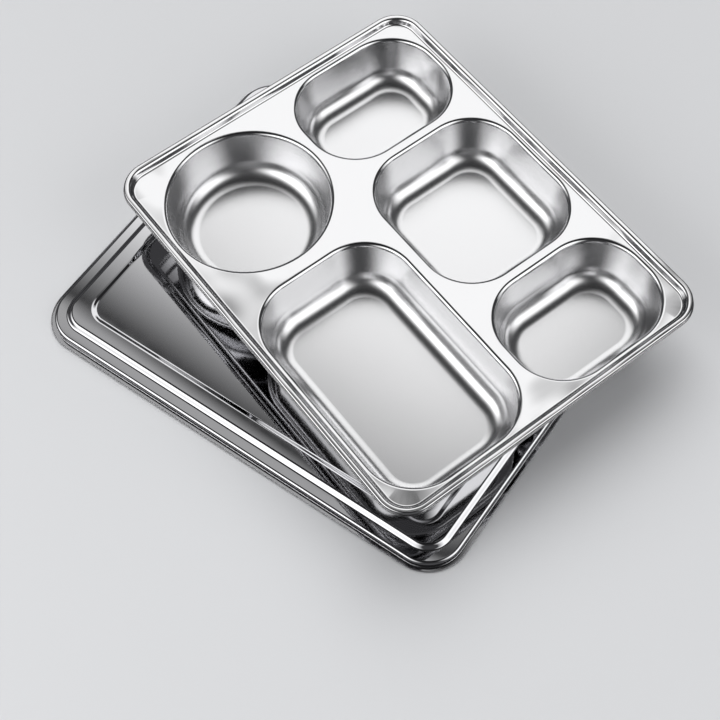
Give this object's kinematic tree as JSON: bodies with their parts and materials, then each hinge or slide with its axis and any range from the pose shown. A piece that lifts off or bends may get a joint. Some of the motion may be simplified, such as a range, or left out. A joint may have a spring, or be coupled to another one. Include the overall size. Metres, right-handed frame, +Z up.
{
  "type": "compartment tray",
  "caption": "Rectangular stainless steel tray with a raised rim and deep rounded food wells, lying across its own stepped lid, from which it lifts off.",
  "frame": {"origin": "on the standing surface, under the centre of the box round the lid and the tray lying on it", "axes": "+X along the tray's long side, +Y across the tray from the row with the large well to the other row, +Z up"},
  "size_m": [0.3386, 0.299, 0.0464],
  "materials": {
    "polished_steel": "mirror polished",
    "tray_steel": "bright deck and rim, satin wells"
  },
  "bodies": {
    "lid_body": {"lid": "polished_steel"},
    "tray_body": {"tray": "tray_steel"}
  },
  "joints": [
    {"name": "tray_lift", "type": "slide", "parent": "lid_body", "child": "tray_body", "axis": [0, 0, 1], "range_m": [0, 0.06]}
  ]
}
